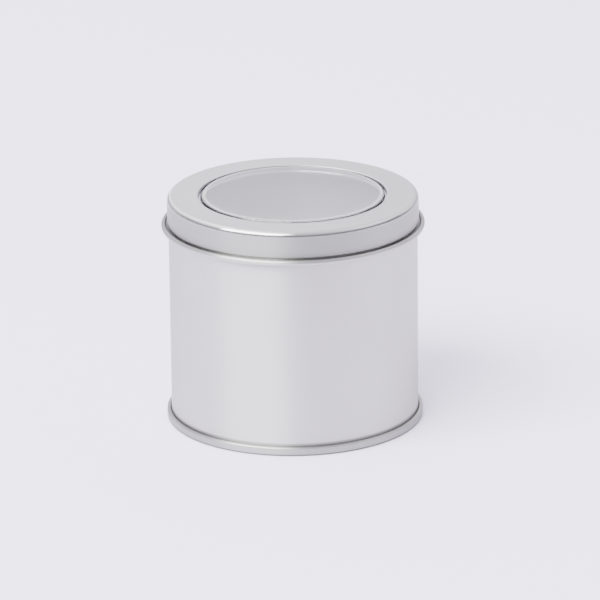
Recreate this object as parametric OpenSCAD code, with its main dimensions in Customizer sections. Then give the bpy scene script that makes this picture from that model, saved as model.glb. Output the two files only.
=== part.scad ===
// Round tin with a slip lid that has a clear window.
// The origin is at the centre of the foot, on the table, and +Z points up to the lid.
// Every sheet piece is a section drawn along the middle of its sheet and turned about Z.

/* [Overall] */
// Height over everything, from the table to the top of the window
total_h = 60; // [40:0.5:90]
// Thickness of the tinplate sheet
sheet = 0.25; // [0.2:0.01:0.3]

/* [Body] */
// Outer diameter of the body wall
body_d = 64.2; // [56:0.1:90]
// How far the bead under the lid stands out from the body wall
bead_out = 1.85; // [1.65:0.05:2.4]
// Height of the bead's round nose
bead_h = 1.4; // [1.2:0.05:1.6]
// Outer diameter of the curl that hides the cut edge of the mouth
mouth_curl_d = 1.2; // [0.9:0.05:1.5]

/* [Side seam] */
// Width of the folded seam that stands inside the wall, at the back
side_seam_w = 3.2; // [2:0.1:5]
// Height that the folded seam stands in from the wall
side_seam_in = 0.3; // [0.2:0.05:0.5]
// Width of the groove that the seam leaves on the outside
side_groove_w = 0.3; // [0.2:0.05:0.5]
// Depth of that groove
side_groove_deep = 0.1; // [0.05:0.01:0.14]

/* [Base] */
// How far the base seam stands out from the body wall
base_seam_out = 1.15; // [1:0.05:1.7]
// Height of the base seam
base_seam_h = 2.3; // [2.25:0.05:3.2]
// Length of the base's own hook inside the seam
base_hook_h = 1.3; // [1:0.05:1.4]
// Length of the body's hook inside the seam
body_hook_h = 1.3; // [1:0.05:1.4]
// Height of the base panel's underside over the table
base_panel_up = 2.4; // [1.5:0.1:4]
// Diameter of the raised middle of the base panel
base_step_d = 48; // [30:1:54]
// Height of that raised middle
base_step_h = 0.6; // [0.4:0.1:1.2]

/* [Lid] */
// How far the lid's skirt stands out from the body wall
lid_out = 0.3; // [0.2:0.05:0.5]
// Height of the skirt, from the top of the lid
skirt_h = 6.9; // [5:0.1:12]
// Outer radius of the edge between the lid's top and its skirt
lid_edge_r = 1.3; // [0.6:0.05:1.4]
// Height of the hem folded up inside the skirt
skirt_hem_h = 1.2; // [0.8:0.1:2]
// Diameter of the opening for the window
opening_d = 48.6; // [40:0.1:52]
// Depth of the lip turned down around that opening
lip_h = 0.9; // [0.7:0.05:1.2]

/* [Window] */
// Thickness of the clear plastic
pane_t = 0.3; // [0.2:0.02:0.4]
// How far the raised middle of the window stands above the lid
pane_rise = 0.3; // [0.1:0.05:0.6]
// Gap between the lip and the window's raised wall
pane_gap = 0.65; // [0.3:0.05:0.8]
// How much the raised wall leans in over its height
pane_draft = 0.15; // [0.05:0.05:0.4]
// Gap between the window's rim and the inside of the skirt
pane_rim_gap = 0.3; // [0.1:0.05:0.6]

/* [Window ring] */
// Outer diameter of the curl along the ring's inner edge
ring_curl_d = 0.9; // [0.8:0.05:1.2]
// How far that curl shows inside the lid's opening
ring_in = 1.3; // [0.5:0.1:2]
// Height of the flange that grips the inside of the skirt
ring_flange_h = 1.7; // [1.2:0.1:2.5]

/* [Fits] */
// Gap between the folded hem and the skirt it is folded against
hem_gap = 0.05; // [0.03:0.01:0.08]
// Running gap between the lid's hem and the neck
slip_gap = 0.2; // [0.1:0.05:0.4]
// Height of the gap that shows between the lid's skirt and the bead
bead_gap = 0.2; // [0.1:0.05:0.6]
// Gap between the two layers of the bead where it is pinched together
bead_pinch_gap = 0.05; // [0.03:0.01:0.1]
// Gap between the window ring and the mouth when the lid is on
rest_gap = 0.15; // [0.1:0.01:0.3]
// Gap between pieces that are pressed together
press_gap = 0.02; // [0.01:0.01:0.04]
// Gap between the layers of the base seam
seam_gap = 0.06; // [0.04:0.01:0.08]

/* [Hidden] */
$fn = 96;

tinplate = [0.80, 0.80, 0.81];
tinplate_inside = [0.72, 0.72, 0.73];
clear_plastic = [0.85, 0.87, 0.90, 0.4];
seam_rubber = [0.45, 0.44, 0.42];

// steps in each rounded corner, and in each curl
corner_steps = 8;
curl_steps = 20;
// how far round a curl is rolled, from where it leaves the sheet
curl_turn = 290;

half_sheet = sheet / 2;
// tight and easy bends, at the middle of the sheet
tight_bend = 0.16;
bend = 0.3;
easy_bend = 0.4;
// the bends of the base seam
seam_bend = 0.3;
// straight length left on each side where two bends turn the sheet right back
bend_spare = 0.01;
// the same between the larger bends of the bead
bead_spare = 0.03;

// heights of the lid, from its top down
lid_top = total_h - pane_rise;
skirt_bottom = lid_top - skirt_h;
lip_bottom = lid_top - lip_h;
pane_top = lip_bottom - press_gap;
ring_top = pane_top - pane_t - press_gap;
ring_under = ring_top - sheet;

// radii of the lid
body_r = body_d / 2;
lid_r = body_r + lid_out;
skirt_in_r = lid_r - sheet;
hem_r = skirt_in_r - hem_gap - sheet;
opening_r = opening_d / 2;

// the body's neck, bead and mouth
neck_r = hem_r - slip_gap;
bead_r = body_r + bead_out;
bead_top = skirt_bottom - bead_gap;
bead_bottom = bead_top - bead_h;
bead_middle = bead_top - bead_h / 2;
root_low = bead_middle - (sheet + bead_pinch_gap) / 2;
root_high = bead_middle + (sheet + bead_pinch_gap) / 2;
mouth_top = ring_under - rest_gap;

// the layers of the base seam, from the inside out
body_in_r = body_r - sheet;
chuck_r = body_in_r - press_gap - half_sheet;
base_hook_r = body_r + seam_gap + half_sheet;
seam_wall_r = body_r + base_seam_out - half_sheet;
body_hook_r = (base_hook_r + seam_wall_r) / 2;
seam_floor = half_sheet;
seam_roof = base_seam_h - half_sheet;
body_flange_z = sheet + seam_gap + half_sheet;
body_hook_tip = body_flange_z + body_hook_h;
base_hook_tip = seam_roof - base_hook_h;
panel_z = base_panel_up + half_sheet;

function unit(v) = v / norm(v);
function square_to(v) = [-v.y, v.x];
function wrapped(angle) = angle > 180 ? angle - 360 : angle < -180 ? angle + 360 : angle;
function arc(centre, radius, from, turn, steps) =
    [for (i = [0:steps]) centre + radius * [cos(from + turn * i / steps), sin(from + turn * i / steps)]];

// the arc of radius r that rounds the corner at b, between a and c
function corner(a, b, c, r) =
    let (
        to_a = unit(a - b),
        to_c = unit(c - b),
        half = acos(to_a * to_c) / 2,
        centre = b + unit(to_a + to_c) * r / sin(half),
        out_a = b + to_a * r / tan(half) - centre,
        out_c = b + to_c * r / tan(half) - centre,
        from = atan2(out_a.y, out_a.x)
    )
    arc(centre, r, from, wrapped(atan2(out_c.y, out_c.x) - from), corner_steps);

// a path of [r, z, bend radius] corners, with each corner that has a bend rounded
function point(p) = [p.x, p.y];
function rounded(path) = [
    for (i = [0:len(path) - 1])
        each path[i].z > 0
            ? corner(point(path[i - 1]), point(path[i]), point(path[i + 1]), path[i].z)
            : [point(path[i])]
];

// the outline of a sheet of the given thickness that follows a path
function side_step(path, i) =
    let (
        last = len(path) - 1,
        before = square_to(unit(path[max(i, 1)] - path[max(i, 1) - 1])),
        after = square_to(unit(path[min(i, last - 1) + 1] - path[min(i, last - 1)])),
        middle = unit(before + after)
    )
    middle / (middle * before);
function outline(path, thickness) = concat(
    [for (i = [0:len(path) - 1]) path[i] + side_step(path, i) * thickness / 2],
    [for (i = [len(path) - 1:-1:0]) path[i] - side_step(path, i) * thickness / 2]
);

module sheet_turned(path, thickness) {
    rotate_extrude() polygon(outline(path, thickness));
}

// a stretch of ring at the back of the tin, centred on +Y
module back_strip(inner_r, outer_r, from_z, to_z, width) {
    turn = 2 * asin(width / 2 / outer_r);
    rotate([0, 0, 90 - turn / 2])
        rotate_extrude(angle = turn)
            translate([inner_r, from_z]) square([outer_r - inner_r, to_z - from_z]);
}

module body_shell() {
    wall = body_r - half_sheet;
    nose = bead_r - half_sheet;
    neck = neck_r - half_sheet;
    nose_low = bead_bottom + half_sheet;
    nose_high = bead_top - half_sheet;
    curl_r = (mouth_curl_d - sheet) / 2;
    curl_centre = [neck - curl_r, mouth_top - mouth_curl_d / 2];
    nose_bend = (nose_high - nose_low) / 2 - bead_spare;
    // the bead's layers part at 45 degrees from the pinched root to the round nose
    flare_out = nose - nose_bend - bend * tan(22.5) - bead_spare;
    flare_in = flare_out - (nose_high - root_high);
    path = concat(
        rounded([
            [body_hook_r, body_hook_tip, 0],
            [body_hook_r, body_flange_z, tight_bend],
            [wall, body_flange_z, tight_bend],
            [wall, root_low, bend],
            [flare_in, root_low, bend],
            [flare_out, nose_low, bend],
            [nose, nose_low, nose_bend],
            [nose, nose_high, nose_bend],
            [flare_out, nose_high, bend],
            [flare_in, root_high, bend],
            [neck, root_high, bend],
            [neck, curl_centre.y, 0]
        ]),
        [for (p = arc(curl_centre, curl_r, 0, curl_turn, curl_steps)) if (p.x < neck) p]
    );
    seam_from = panel_z + half_sheet + seam_gap;
    seam_to = root_low - bend - seam_gap;
    color(tinplate)
        difference() {
            union() {
                sheet_turned(path, sheet);
                back_strip(body_in_r - side_seam_in, body_r - half_sheet, seam_from, seam_to, side_seam_w);
            }
            rotate([0, 0, asin(side_seam_w / 2 / body_r)])
                back_strip(body_r - side_groove_deep, body_r + sheet, base_seam_h + seam_gap, seam_to,
                    side_groove_w);
        }
}

module base_plate() {
    raised = panel_z + base_step_h;
    step_r = base_step_d / 2;
    color(tinplate)
        sheet_turned(
            rounded([
                [0, raised, 0],
                [step_r, raised, easy_bend],
                [step_r + base_step_h, panel_z, easy_bend],
                [chuck_r, panel_z, easy_bend],
                [chuck_r, seam_floor, easy_bend],
                [seam_wall_r, seam_floor, seam_bend],
                [seam_wall_r, seam_roof, seam_bend],
                [base_hook_r, seam_roof, seam_bend],
                [base_hook_r, base_hook_tip, 0]
            ]),
            sheet
        );
}

// the rubber that seals the base seam, over the tip of the body's hook
module seam_compound() {
    low = body_hook_tip + seam_gap;
    high = seam_roof - half_sheet - seam_gap;
    inner = base_hook_r + half_sheet + seam_bend / 2;
    outer = seam_wall_r - half_sheet - seam_bend / 2;
    color(seam_rubber)
        rotate_extrude()
            translate([inner, low]) square([outer - inner, high - low]);
}

module lid_shell() {
    top = lid_top - half_sheet;
    skirt = lid_r - half_sheet;
    hem = hem_r + half_sheet;
    hem_floor = skirt_bottom + half_sheet;
    hem_bend = (skirt - hem) / 2 - bend_spare;
    color(tinplate)
        sheet_turned(
            rounded([
                [opening_r + half_sheet, lip_bottom, 0],
                [opening_r + half_sheet, top, bend],
                [skirt, top, lid_edge_r - half_sheet],
                [skirt, hem_floor, hem_bend],
                [hem, hem_floor, hem_bend],
                [hem, skirt_bottom + skirt_hem_h, 0]
            ]),
            sheet
        );
}

module window_pane() {
    top = total_h - pane_t / 2;
    flange = pane_top - pane_t / 2;
    wall_r = opening_r - pane_gap - pane_t / 2;
    color(clear_plastic)
        sheet_turned(
            rounded([
                [0, top, 0],
                [wall_r - pane_draft, top, easy_bend],
                [wall_r, flange, bend],
                [skirt_in_r - pane_rim_gap, flange, 0]
            ]),
            pane_t
        );
}

module window_ring() {
    curl_r = (ring_curl_d - sheet) / 2;
    flat = ring_top - half_sheet;
    curl_centre = [opening_r - ring_in + ring_curl_d / 2, flat - curl_r];
    grip = skirt_in_r - press_gap - half_sheet;
    curl = arc(curl_centre, curl_r, 90 + curl_turn, -curl_turn, curl_steps);
    color(tinplate_inside)
        sheet_turned(
            concat(
                curl,
                rounded([
                    [curl_centre.x + ring_curl_d, flat, 0],
                    [grip, flat, bend],
                    [grip, ring_top - ring_flange_h, 0]
                ])
            ),
            sheet
        );
}

body_shell();
base_plate();
seam_compound();
lid_shell();
window_pane();
window_ring();
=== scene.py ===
"""Finish, window and studio for a round tin whose slip lid has a clear window.

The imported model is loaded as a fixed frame. Its sheet metal keeps its shape and gets its finish here,
and the formed window is modelled in place of the plain one.
"""

import math

import bmesh
import bpy
from bpy.props import FloatProperty, FloatVectorProperty, IntProperty, PointerProperty
from mathutils import Matrix, Vector


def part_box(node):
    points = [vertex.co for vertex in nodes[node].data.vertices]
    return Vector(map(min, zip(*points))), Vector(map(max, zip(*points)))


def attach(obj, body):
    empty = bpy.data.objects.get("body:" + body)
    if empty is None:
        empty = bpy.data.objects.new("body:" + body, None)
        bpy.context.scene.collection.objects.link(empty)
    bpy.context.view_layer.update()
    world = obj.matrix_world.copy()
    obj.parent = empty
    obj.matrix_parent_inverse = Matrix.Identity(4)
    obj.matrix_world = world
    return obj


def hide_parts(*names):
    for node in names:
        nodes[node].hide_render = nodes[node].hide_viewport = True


bl_info = {
    "name": "Window lid tin",
    "version": (1, 0, 0),
    "blender": (4, 5, 0),
    "location": "3D View > Sidebar > Tin",
    "description": "Gives a round tinplate tin its finish, its clear window and a pale studio",
    "category": "Object",
}

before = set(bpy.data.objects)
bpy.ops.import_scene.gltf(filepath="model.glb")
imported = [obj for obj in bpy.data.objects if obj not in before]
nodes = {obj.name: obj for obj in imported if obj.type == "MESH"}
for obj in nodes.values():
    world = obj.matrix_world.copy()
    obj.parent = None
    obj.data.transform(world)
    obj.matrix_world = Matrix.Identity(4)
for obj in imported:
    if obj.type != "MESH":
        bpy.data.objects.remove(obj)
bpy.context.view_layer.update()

MM = 0.001

_, body_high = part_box("body_shell")
lid_low, lid_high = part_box("lid_shell")
pane_low, pane_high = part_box("window_pane")
_, base_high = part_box("base_plate")
base_seam_out = 1.15 * MM
# outer radius of the body's wall, between its bead and the base seam
body_wall_r = base_high.x - base_seam_out
# radius of the lid's opening, inside its turned-down lip
opening_r = 24.3 * MM


def linear(colour):
    """An sRGB hex colour, such as "C9CACC", as linear red, green and blue, by the standard's curve."""
    parts = [int(colour[i : i + 2], 16) / 255 for i in (0, 2, 4)]
    return tuple(p / 12.92 if p <= 0.04045 else ((p + 0.055) / 1.055) ** 2.4 for p in parts)


class TinplateSettings(bpy.types.PropertyGroup):
    """Colours and grain of the tin's sheet metal."""

    body_colour: FloatVectorProperty(
        name="Body", description="Colour of the body's tinplate", subtype="COLOR", size=3,
        min=0, max=1, default=linear("C5C4C1"),
    )
    lid_colour: FloatVectorProperty(
        name="Lid", description="Colour of the lid's tinplate", subtype="COLOR", size=3,
        min=0, max=1, default=linear("BCBCBB"),
    )
    # partly painted shade: this darker colour is the greyer coat of formed sheet and also stands in for
    # shade on the skirt, the bead and the base seam
    drawn_colour: FloatVectorProperty(
        name="Drawn metal", description="Colour where the sheet is drawn or folded", subtype="COLOR",
        size=3, min=0, max=1, default=linear("A2A29F"),
    )
    body_roughness: FloatProperty(
        name="Body roughness", description="How soft the body's reflections are",
        min=0, max=1, default=0.38,
    )
    lid_roughness: FloatProperty(
        name="Lid roughness", description="How soft the lid's reflections are",
        min=0, max=1, default=0.38,
    )
    line_spread: FloatProperty(
        name="Line spread",
        description="How much more the rolled lines spread light across them than along them",
        min=0, max=1, default=0.88,
    )
    grain_pitch: FloatProperty(
        name="Grain", description="Distance between the fine lines of the rolled sheet", unit="LENGTH",
        min=0.1 * MM, max=2 * MM, default=0.45 * MM, precision=5,
    )
    grain_depth: FloatProperty(
        name="Grain depth", description="Depth of those lines", unit="LENGTH",
        min=0, max=0.02 * MM, default=0.0012 * MM, precision=6,
    )


class WindowSettings(bpy.types.PropertyGroup):
    """Sizes and colour of the formed window."""

    thickness: FloatProperty(
        name="Thickness", description="Thickness of the clear sheet", unit="LENGTH",
        min=0.1 * MM, max=0.6 * MM, default=0.3 * MM, precision=5,
    )
    raised_d: FloatProperty(
        name="Raised middle", description="Diameter of the raised middle, over its wall", unit="LENGTH",
        min=30 * MM, max=50 * MM, default=47.3 * MM, precision=5,
    )
    draft: FloatProperty(
        name="Draft", description="How much the wall leans in over its height", unit="LENGTH",
        min=0, max=0.5 * MM, default=0.15 * MM, precision=5,
    )
    crown: FloatProperty(
        name="Crown", description="How much higher the middle is than its edge", unit="LENGTH",
        min=0, max=0.5 * MM, default=0.2 * MM, precision=5,
    )
    edge_radius: FloatProperty(
        name="Edge radius", description="Radius of the bends, at the middle of the sheet", unit="LENGTH",
        min=0.2 * MM, max=1 * MM, default=0.4 * MM, precision=5,
    )
    segments: IntProperty(
        name="Segments", description="Faces round the window", min=48, max=512, default=192,
    )
    colour: FloatVectorProperty(
        name="Colour", description="Tint of the clear plastic", subtype="COLOR", size=3,
        min=0, max=1, default=linear("F6F7FA"),
    )


class StudioSettings(bpy.types.PropertyGroup):
    """Floor, light and camera."""

    floor_colour: FloatVectorProperty(
        name="Floor", description="Colour of the paper sweep", subtype="COLOR", size=3,
        min=0, max=1, default=linear("F2EDFF"),
    )
    floor_radius: FloatProperty(
        name="Floor radius", description="Radius of the flat floor", unit="LENGTH",
        min=0.5, max=4, default=1.9,
    )
    floor_front: FloatProperty(
        name="Floor front", description="From the tin's axis to the paper's front edge", unit="LENGTH",
        min=0.18, max=1, default=0.26,
    )
    key_power: FloatProperty(
        name="Key light", description="Power of the large soft light", unit="POWER",
        min=0, max=1000, default=330,
    )
    sky_strength: FloatProperty(
        name="Sky", description="Strength of the light from the walls",
        min=0, max=10, default=3.15,
    )
    elevation: FloatProperty(
        name="Camera elevation", description="Height of the view over the horizon", subtype="ANGLE",
        min=0, max=math.pi / 2, default=math.radians(18.88),
    )
    distance: FloatProperty(
        name="Camera distance", description="From the lens to the middle of the tin", unit="LENGTH",
        min=0.2, max=5, default=1.375,
    )
    roll: FloatProperty(
        name="Camera roll", description="Tilt of the camera to its right", subtype="ANGLE",
        min=-0.2, max=0.2, default=math.radians(0.659),
    )


def settings():
    """The scene's settings of this add-on."""
    return bpy.context.scene.window_tin


def add(tree, kind, values=None, links=None, **options):
    """A new node with its options, its input values and the outputs that feed it."""
    made = tree.nodes.new(kind)
    for name, value in options.items():
        setattr(made, name, value)
    for socket, value in (values or {}).items():
        made.inputs[socket].default_value = value
    for socket, source in (links or {}).items():
        tree.links.new(source, made.inputs[socket])
    return made


def new_material(name):
    """An empty node material with its output, and the tree."""
    material = bpy.data.materials.new(name)
    material.use_nodes = True
    tree = material.node_tree
    tree.nodes.clear()
    return material, tree


def on_object(tree):
    """Where a point lies on the piece, and its distance from the tin's axis."""
    place = add(tree, "ShaderNodeTexCoord").outputs["Object"]
    across = add(tree, "ShaderNodeVectorMath", {1: (1, 1, 0)}, {0: place}, operation="MULTIPLY")
    radius = add(tree, "ShaderNodeVectorMath", links={0: across.outputs[0]}, operation="LENGTH")
    return place, radius.outputs["Value"]


def noise(tree, place, size, detail, roughness=0.5):
    """Soft noise, with features of about this size."""
    made = add(
        tree, "ShaderNodeTexNoise", {"Scale": 1 / size, "Detail": detail, "Roughness": roughness},
        {"Vector": place},
    )
    return made.outputs[0]


def spread(tree, reading, middle, swing):
    """A noise reading as a value that goes up and down round a middle one."""
    made = add(
        tree, "ShaderNodeMapRange", {"To Min": middle - swing, "To Max": middle + swing},
        {"Value": reading},
    )
    return made.outputs[0]


def bump(tree, height, depth):
    """The node that shades a height as a relief of this depth."""
    return add(tree, "ShaderNodeBump", {"Strength": 1, "Distance": depth}, {"Height": height})


def surface(tree, values, links):
    """The material's shader, from its values and outputs, joined to the material's output."""
    skin = add(tree, "ShaderNodeBsdfPrincipled", values, links)
    add(tree, "ShaderNodeOutputMaterial", links={"Surface": skin.outputs[0]})


def product(tree, *factors):
    """The product of several outputs."""
    result = factors[0]
    for factor in factors[1:]:
        times = add(tree, "ShaderNodeMath", links={0: result, 1: factor}, operation="MULTIPLY")
        result = times.outputs[0]
    return result


def ramp(tree, reading, start, end, low=0, high=1):
    """A smooth step from low to high, as a reading goes from start to end."""
    step = add(
        tree, "ShaderNodeMapRange", {"From Min": start, "From Max": end, "To Min": low, "To Max": high},
        {"Value": reading}, interpolation_type="SMOOTHSTEP",
    )
    return step.outputs[0]


def mixed(tree, share, first, second):
    """A vector that goes over from the first to the second; each is an output or three numbers."""
    values, links = {}, {"Factor": share}
    for socket, vector in ((4, first), (5, second)):
        if isinstance(vector, bpy.types.NodeSocket):
            links[socket] = vector
        else:
            values[socket] = vector
    return add(tree, "ShaderNodeMix", values, links, data_type="VECTOR").outputs[1]


def tinplate(
    name, colour, roughness, flat_above=None, drawn=None, polished=None, crown=None, painted_shade_rings=(),
):
    """Satin tinplate: cold-rolled steel with a thin melted coat of tin.

    The rolls leave fine straight lines, which run round a wall. They spread a reflection across
    themselves, so a light shows as an upright soft band. Above flat_above the sheet is a flat disc
    and the lines run along X. The coat is a little uneven, which clouds the gloss over centimetres.
    Drawn_and_shaded gives two heights: from the first to the second the sheet goes over into the
    darker colour of formed metal, partly its greyer coat and partly painted shade. Polished gives a
    low and a high one: between them the press has made the metal smooth round a corner, so it shows a
    sharper light line. Crown is a radius and a height: inside the radius, the press leaves the flat
    sheet a little raised, which shades it very slightly. Painted_shade_rings are ring-shaped places
    painted darker, as painted shade in crevices and gaps: inner and outer radius, low and high
    height, and how dark.
    """
    plate = settings().tinplate
    material, tree = new_material(name)
    place, radius = on_object(tree)
    x, y, z = add(tree, "ShaderNodeSeparateXYZ", links={0: place}).outputs

    # the pattern starts and ends at +Y, where the side seam is
    backwards = add(tree, "ShaderNodeMath", {1: -1}, {0: y}, operation="MULTIPLY")
    azimuth = add(tree, "ShaderNodeMath", links={0: x, 1: backwards.outputs[0]}, operation="ARCTAN2")
    line_stretch = 60
    along = add(
        tree, "ShaderNodeMath", {1: body_high.x / line_stretch}, {0: azimuth.outputs[0]},
        operation="MULTIPLY",
    )
    pattern = add(tree, "ShaderNodeCombineXYZ", links={0: along.outputs[0], 1: radius, 2: z}).outputs[0]
    lines = add(tree, "ShaderNodeCombineXYZ", links={0: backwards.outputs[0], 1: x}).outputs[0]
    if flat_above is not None:
        flat = add(tree, "ShaderNodeMapping", {"Scale": (1 / line_stretch, 1, 1)}, {"Vector": place})
        on_top = ramp(tree, z, flat_above - 0.2 * MM, flat_above)
        pattern = mixed(tree, on_top, pattern, flat.outputs[0])
        lines = mixed(tree, on_top, lines, (1, 0, 0))
    direction = add(
        tree, "ShaderNodeVectorTransform", links={0: lines}, vector_type="VECTOR",
        convert_from="OBJECT", convert_to="WORLD",
    )

    # the gloss follows the lines and the clouds of the coat
    grain = noise(tree, pattern, plate.grain_pitch, 3, 0.6)
    cloud_size = 14 * MM
    cloud = noise(tree, place, cloud_size, 2)
    grain_swing, cloud_swing, tone_swing = 0.03, 0.035, 0.035
    gloss = add(
        tree, "ShaderNodeMath",
        links={0: spread(tree, grain, 0, grain_swing), 1: spread(tree, cloud, roughness, cloud_swing)},
        operation="ADD",
    ).outputs[0]
    if polished:
        low, high = polished
        blur = 0.3 * MM
        polish = 0.5
        smooth = product(tree, ramp(tree, z, low - blur, low), ramp(tree, z, high, high - blur))
        gloss = product(tree, gloss, ramp(tree, smooth, 0, 1, 1, polish))

    # the colour follows the lines, the painted shade of the rings and the darker formed metal, which is
    # partly painted shade
    tones = [spread(tree, grain, 1, tone_swing)]
    for inner, outer, low, high, darkness in painted_shade_rings:
        blur = 0.1 * MM
        inside = product(
            tree, ramp(tree, radius, inner, inner + blur), ramp(tree, radius, outer, outer - blur),
            ramp(tree, z, low, low + blur), ramp(tree, z, high, high - blur),
        )
        tones.append(ramp(tree, inside, 0, 1, 1, 1 - darkness))
    metal = add(
        tree, "ShaderNodeVectorMath", {0: colour}, {1: product(tree, *tones)}, operation="MULTIPLY",
    )
    # partly painted shade: over these heights the colour goes over to the darker one of formed sheet
    if drawn:
        duller_and_shaded = [dull / sheet for dull, sheet in zip(plate.drawn_colour, colour)]
        stretched_painted_light = mixed(tree, ramp(tree, z, *drawn), (1, 1, 1), duller_and_shaded)
        metal = add(
            tree, "ShaderNodeVectorMath", links={0: metal.outputs[0], 1: stretched_painted_light},
            operation="MULTIPLY",
        )

    relief = bump(tree, grain, plate.grain_depth)
    if crown:
        reach, rise = crown
        slope = 13 * MM
        height = product(tree, on_top, ramp(tree, radius, reach, reach - slope))
        tree.links.new(bump(tree, height, rise).outputs[0], relief.inputs["Normal"])
    edge_tint = 0.7
    quarter_turn = 0.25
    surface(
        tree,
        {
            "Metallic": 1, "Specular Tint": (edge_tint, edge_tint, edge_tint, 1),
            "Anisotropic": plate.line_spread, "Anisotropic Rotation": quarter_turn,
        },
        {
            "Base Color": metal.outputs[0], "Roughness": gloss, "Normal": relief.outputs[0],
            "Tangent": direction.outputs[0],
        },
    )
    return material


def clear_plastic():
    """Clear PET, formed warm over a mould: clear and glossy, with the faint waves of the forming."""
    material, tree = new_material("clear_pet_thermoformed")
    place, radius = on_object(tree)
    wave_size = 11 * MM
    waves = noise(tree, place, wave_size, 1)
    # near the edge, where the forming thins the sheet, a narrow whiter line is a painted highlight that
    # stands in for light caught in the plastic's edge
    z = add(tree, "ShaderNodeSeparateXYZ", links={0: place}).outputs["Z"]
    edge = settings().window.raised_d / 2
    stretched_painted_light = product(
        tree, ramp(tree, radius, edge - 1.7 * MM, edge - 0.8 * MM),
        ramp(tree, radius, edge - 0.4 * MM, edge - 0.65 * MM),
        ramp(tree, z, pane_high.z - 1.1 * MM, pane_high.z - 0.8 * MM),
    )
    # painted highlight: the share of the sheet kept clear along that line
    painted_highlight_transmission = 0.8
    surface(
        tree,
        {"Base Color": (*settings().window.colour, 1), "IOR": 1.57},
        {
            "Roughness": spread(tree, waves, 0.08, 0.02),
            "Normal": bump(tree, waves, 0.004 * MM).outputs[0],
            "Transmission Weight": ramp(tree, stretched_painted_light, 0, 1, 1, painted_highlight_transmission),
        },
    )
    return material


def sealing_rubber():
    """Can sealing compound, a rubber poured and dried: dull, warm grey and slightly uneven."""
    material, tree = new_material("sealing_rubber_dried")
    place, _ = on_object(tree)
    lump_size = 0.8 * MM
    lumps = noise(tree, place, lump_size, 2)
    surface(
        tree, {"Base Color": (*linear("77736B"), 1), "Roughness": 0.75},
        {"Normal": bump(tree, lumps, 0.02 * MM).outputs[0]},
    )
    return material


def sweep_paper():
    """Matt background paper, coated and pale, with a faint tooth."""
    material, tree = new_material("background_paper_matt")
    place, _ = on_object(tree)
    tooth_size = 1.2 * MM
    tooth = noise(tree, place, tooth_size, 2)
    surface(
        tree,
        {
            "Base Color": (*settings().studio.floor_colour, 1), "Roughness": 0.7,
            "Specular IOR Level": 0.3,
        },
        {"Normal": bump(tree, tooth, 0.01 * MM).outputs[0]},
    )
    return material


def finish_sheet(name, material):
    """Smooths a CAD node's shading, with its cut edges kept sharp, and gives it its material."""
    node = nodes[name]
    mesh = node.data
    mesh.polygons.foreach_set("use_smooth", [True] * len(mesh.polygons))
    weld = node.modifiers.new("Joined faces", "WELD")
    weld.merge_threshold = 0.001 * MM
    split = node.modifiers.new("Sharp cut edges", "EDGE_SPLIT")
    split.split_angle = math.radians(40)
    even = node.modifiers.new("Even shading", "WEIGHTED_NORMAL")
    even.keep_sharp = True
    mesh.materials.clear()
    mesh.materials.append(material)


def link(name, shape, material, body):
    """A new piece from a finished bmesh, with its material, that rides on a body."""
    mesh = bpy.data.meshes.new(name)
    shape.to_mesh(mesh)
    shape.free()
    mesh.materials.append(material)
    piece = bpy.data.objects.new(name, mesh)
    bpy.context.scene.collection.objects.link(piece)
    if body:
        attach(piece, body)
    return piece


class TIN_OT_body(bpy.types.Operator):
    """Gives the body shell its finish."""

    bl_idname = "tin.body"
    bl_label = "Body"

    def execute(self, context):
        plate = settings().tinplate
        bead_h = 1.6 * MM
        bead_bottom = lid_low.z - bead_h
        # painted shade: the wall is painted darker in the groove over the base seam, on the wall just
        # under the bead, and on the bead's root under the lid's skirt, where shade falls
        base_joint = (0, body_wall_r + 0.2 * MM, 0, base_high.z - 0.2 * MM, 0.35)
        under_bead = (
            body_wall_r - 0.1 * MM, body_wall_r + 0.7 * MM,
            bead_bottom - 0.55 * MM, bead_bottom + 0.55 * MM, 0.3,
        )
        under_lid = (
            body_wall_r - 0.5 * MM, body_wall_r + 0.95 * MM,
            bead_bottom + 0.75 * MM, lid_low.z - 0.2 * MM, 0.25,
        )
        # the bead and neck turn to the darker colour of formed sheet, partly a greyer coat and partly
        # painted shade round the bead
        skin = tinplate(
            "tinplate_satin_body", plate.body_colour, plate.body_roughness,
            drawn=(bead_bottom - 0.3 * MM, bead_bottom + bead_h),
            painted_shade_rings=(base_joint, under_bead, under_lid),
        )
        finish_sheet("body_shell", skin)
        return {"FINISHED"}


class TIN_OT_base(bpy.types.Operator):
    """Gives the base plate and the rubber in its seam their finish."""

    bl_idname = "tin.base"
    bl_label = "Base"

    def execute(self, context):
        plate = settings().tinplate
        # painted shade: the seam is painted darker on its inner side next to the wall, and along its
        # foot by the floor, where shade falls
        inner_side = (
            body_wall_r - 0.1 * MM, body_wall_r + 0.45 * MM, MM, base_high.z - 0.1 * MM, 0.2,
        )
        foot = (body_wall_r, base_high.x + MM, -MM, 0.55 * MM, 0.5)
        # the whole plate has the darker colour of formed sheet, which is partly painted shade on the
        # seam
        skin = tinplate(
            "tinplate_drawn_base", plate.drawn_colour, plate.lid_roughness, painted_shade_rings=(inner_side, foot),
        )
        finish_sheet("base_plate", skin)
        finish_sheet("seam_compound", sealing_rubber())
        return {"FINISHED"}


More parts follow.
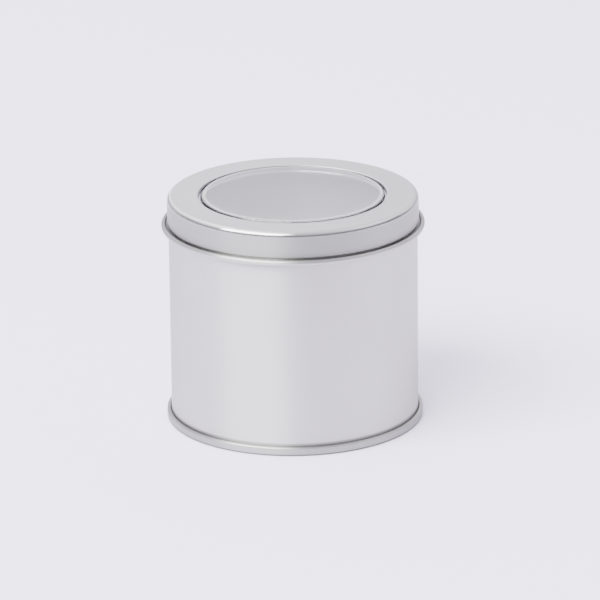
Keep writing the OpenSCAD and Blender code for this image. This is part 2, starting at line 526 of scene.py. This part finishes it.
class TIN_OT_lid(bpy.types.Operator):
    """Gives the lid and the ring inside it their finish."""

    bl_idname = "tin.lid"
    bl_label = "Lid"

    def execute(self, context):
        plate = settings().tinplate
        # painted shade: the lid is painted darker round its hem over the bead, and on the lip inside the
        # opening, in the narrow gap round the window
        hem = (body_wall_r - MM, lid_high.x, lid_low.z - MM, lid_low.z + 0.15 * MM, 0.35)
        opening_lip = (20 * MM, opening_r + 0.15 * MM, lid_low.z, lid_high.z - 0.5 * MM, 0.8)
        # the skirt turns to the darker colour of formed sheet, partly a greyer coat and partly painted
        # shade
        skin = tinplate(
            "tinplate_satin_lid", plate.lid_colour, plate.lid_roughness,
            flat_above=lid_high.z - 0.15 * MM, drawn=(lid_high.z - 0.3 * MM, lid_high.z - 1.2 * MM),
            polished=(lid_high.z - 1.15 * MM, lid_high.z - 0.1 * MM), crown=(31 * MM, 0.45 * MM),
            painted_shade_rings=(hem, opening_lip),
        )
        finish_sheet("lid_shell", skin)
        # the ring keeps the mill's bright finish, which glints through the window
        ring_roughness = 0.15
        finish_sheet("window_ring", tinplate("tinplate_bright_ring", linear("D2D2D2"), ring_roughness))
        return {"FINISHED"}


class TIN_OT_window(bpy.types.Operator):
    """Models the formed window: a flange under the lid, a raised wall and a slightly domed middle."""

    bl_idname = "tin.window"
    bl_label = "Window"

    def execute(self, context):
        pane = settings().window
        half = pane.thickness / 2
        top = pane_high.z - half
        flange = pane_low.z + half
        wall = pane.raised_d / 2 - half
        shape = bmesh.new()
        rings = 12
        middle = [
            shape.verts.new((wall * share, 0, top - pane.crown * share**3))
            for share in (step / rings for step in range(rings))
        ]
        corners = [
            shape.verts.new((wall - pane.draft, 0, top - pane.crown)),
            shape.verts.new((wall, 0, flange)),
        ]
        outline = [*middle, *corners, shape.verts.new((pane_high.x, 0, flange))]
        for start, end in zip(outline, outline[1:]):
            shape.edges.new((start, end))
        bmesh.ops.bevel(
            shape, geom=corners, offset=pane.edge_radius, affect="VERTICES", segments=8, profile=0.5,
            material=-1,
        )
        bmesh.ops.spin(
            shape, geom=shape.verts[:] + shape.edges[:], cent=(0, 0, 0), axis=(0, 0, 1),
            angle=2 * math.pi, steps=pane.segments, use_merge=True,
        )
        bmesh.ops.remove_doubles(shape, verts=shape.verts, dist=0.001 * MM)
        bmesh.ops.recalc_face_normals(shape, faces=shape.faces)
        for face in shape.faces:
            face.smooth = True
        window = link("window", shape, clear_plastic(), "lid")
        wall_thick = window.modifiers.new("Sheet", "SOLIDIFY")
        wall_thick.thickness = pane.thickness
        wall_thick.offset = 0
        wall_thick.use_even_offset = True
        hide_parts("window_pane")
        return {"FINISHED"}


class TIN_OT_studio(bpy.types.Operator):
    """Sets up the pale floor, the soft light and the camera."""

    bl_idname = "tin.studio"
    bl_label = "Studio"

    def execute(self, context):
        self.floor()
        self.light()
        self.camera()
        return {"FINISHED"}

    def floor(self):
        studio = settings().studio
        shape = bmesh.new()
        bmesh.ops.create_circle(shape, cap_ends=True, radius=studio.floor_radius, segments=96)
        bmesh.ops.bisect_plane(
            shape, geom=shape.verts[:] + shape.edges[:] + shape.faces[:],
            plane_co=(0, -studio.floor_front, 0), plane_no=(0, 1, 0), clear_inner=True,
        )
        paper = link("floor", shape, sweep_paper(), None)

    def light(self):
        studio = settings().studio
        azimuth, elevation, distance = math.radians(44), math.radians(48), 3
        key = bpy.data.lights.new("key", "AREA")
        key.energy = studio.key_power
        key.shape = "RECTANGLE"
        key.size = 2.8
        key.size_y = 1.64
        lamp = bpy.data.objects.new("key", key)
        bpy.context.scene.collection.objects.link(lamp)
        lamp.location = distance * Vector((
            -math.cos(elevation) * math.sin(azimuth),
            -math.cos(elevation) * math.cos(azimuth),
            math.sin(elevation),
        ))
        lamp.rotation_euler = (-lamp.location).to_track_quat("-Z", "Y").to_euler()

        world = bpy.data.worlds.new("studio")
        world.use_nodes = True
        tree = world.node_tree
        tree.nodes.clear()
        pale = (*linear("F4F0FD"), 1)
        way = add(tree, "ShaderNodeTexCoord").outputs["Generated"]
        x, y, z = add(tree, "ShaderNodeSeparateXYZ", links={0: way}).outputs
        # the wall behind is bright, more so higher up
        behind = ramp(tree, y, 0.3, 0.9)
        back_wall = ramp(tree, z, 0.16, 0.5, 0.55, 1.45)
        # the side walls are dimmer, and the camera's side is dark
        before = ramp(tree, y, -0.1, -0.75)
        beside = ramp(tree, x, -0.9, 0.9, 0.26, 0.16)
        camera_side = 0.17
        sides = add(tree, "ShaderNodeMix", {3: camera_side}, {"Factor": before, 2: beside})
        wall = add(tree, "ShaderNodeMix", links={"Factor": behind, 2: sides.outputs[0], 3: back_wall})
        # above them is a pale ceiling, a little dimmer straight up and dimmer over the camera
        overhead = ramp(tree, z, 0.8, 0.97, 1.1, 0.85)
        ceiling = product(tree, overhead, ramp(tree, y, -0.05, -0.5, 1, 0.55))
        height = ramp(tree, z, 0.38, 0.62)
        shade = add(tree, "ShaderNodeMix", links={"Factor": height, 2: wall.outputs[0], 3: ceiling})
        strength = add(
            tree, "ShaderNodeMath", {1: studio.sky_strength}, {0: shade.outputs[0]},
            operation="MULTIPLY",
        )
        room = add(tree, "ShaderNodeBackground", {"Color": pale}, {"Strength": strength.outputs[0]})
        # seen straight, past the floor's edge, there is only the pale backdrop
        backdrop_strength = 4.2
        backdrop = add(tree, "ShaderNodeBackground", {"Color": pale, "Strength": backdrop_strength})
        ray = add(tree, "ShaderNodeLightPath")
        seen = add(
            tree, "ShaderNodeMixShader",
            links={0: ray.outputs["Is Camera Ray"], 1: room.outputs[0], 2: backdrop.outputs[0]},
        )
        add(tree, "ShaderNodeOutputWorld", links={"Surface": seen.outputs[0]})
        bpy.context.scene.world = world

    def camera(self):
        studio = settings().studio
        # where the middle of the tin lies in the 600 x 600 picture, and its scale there
        picture = 600
        middle_x, middle_y = 293.94, 303.48
        pixels_per_mm = 3.864
        aim = Vector((0, 0, lid_high.z / 2))
        back = Vector((0, -math.cos(studio.elevation), math.sin(studio.elevation)))
        data = bpy.data.cameras.new("camera")
        data.lens = pixels_per_mm / MM * studio.distance * data.sensor_width / picture
        data.shift_x = (picture / 2 - middle_x) / picture
        data.shift_y = (middle_y - picture / 2) / picture
        data.clip_end = 20
        view = bpy.data.objects.new("camera", data)
        bpy.context.scene.collection.objects.link(view)
        turn = (-back).to_track_quat("-Z", "Y").to_matrix().to_4x4()
        roll = Matrix.Rotation(-studio.roll, 4, "Z")
        view.matrix_world = Matrix.Translation(aim + back * studio.distance) @ turn @ roll
        bpy.context.scene.camera = view


class TinSettings(bpy.types.PropertyGroup):
    """All settings of the tin."""

    tinplate: PointerProperty(type=TinplateSettings)
    window: PointerProperty(type=WindowSettings)
    studio: PointerProperty(type=StudioSettings)


STEPS = (TIN_OT_studio, TIN_OT_body, TIN_OT_base, TIN_OT_lid, TIN_OT_window)


class TIN_PT_panel(bpy.types.Panel):
    """Lists the steps and settings of the tin."""

    bl_idname = "TIN_PT_panel"
    bl_label = "Window lid tin"
    bl_space_type = "VIEW_3D"
    bl_region_type = "UI"
    bl_category = "Tin"

    def draw(self, context):
        for step in STEPS:
            self.layout.operator(step.bl_idname)
        tin = context.scene.window_tin
        for group in (tin.tinplate, tin.window, tin.studio):
            box = self.layout.box()
            for name in group.__annotations__:
                box.prop(group, name)


CLASSES = (TinplateSettings, WindowSettings, StudioSettings, TinSettings, *STEPS, TIN_PT_panel)


def register():
    for each in CLASSES:
        bpy.utils.register_class(each)
    bpy.types.Scene.window_tin = PointerProperty(type=TinSettings)


def unregister():
    del bpy.types.Scene.window_tin
    for each in reversed(CLASSES):
        bpy.utils.unregister_class(each)


def main():
    """Builds everything with the add-on's own steps."""
    register()
    bpy.ops.tin.studio()
    bpy.ops.tin.body()
    bpy.ops.tin.base()
    bpy.ops.tin.lid()
    bpy.ops.tin.window()


if __name__ == "__main__":
    main()
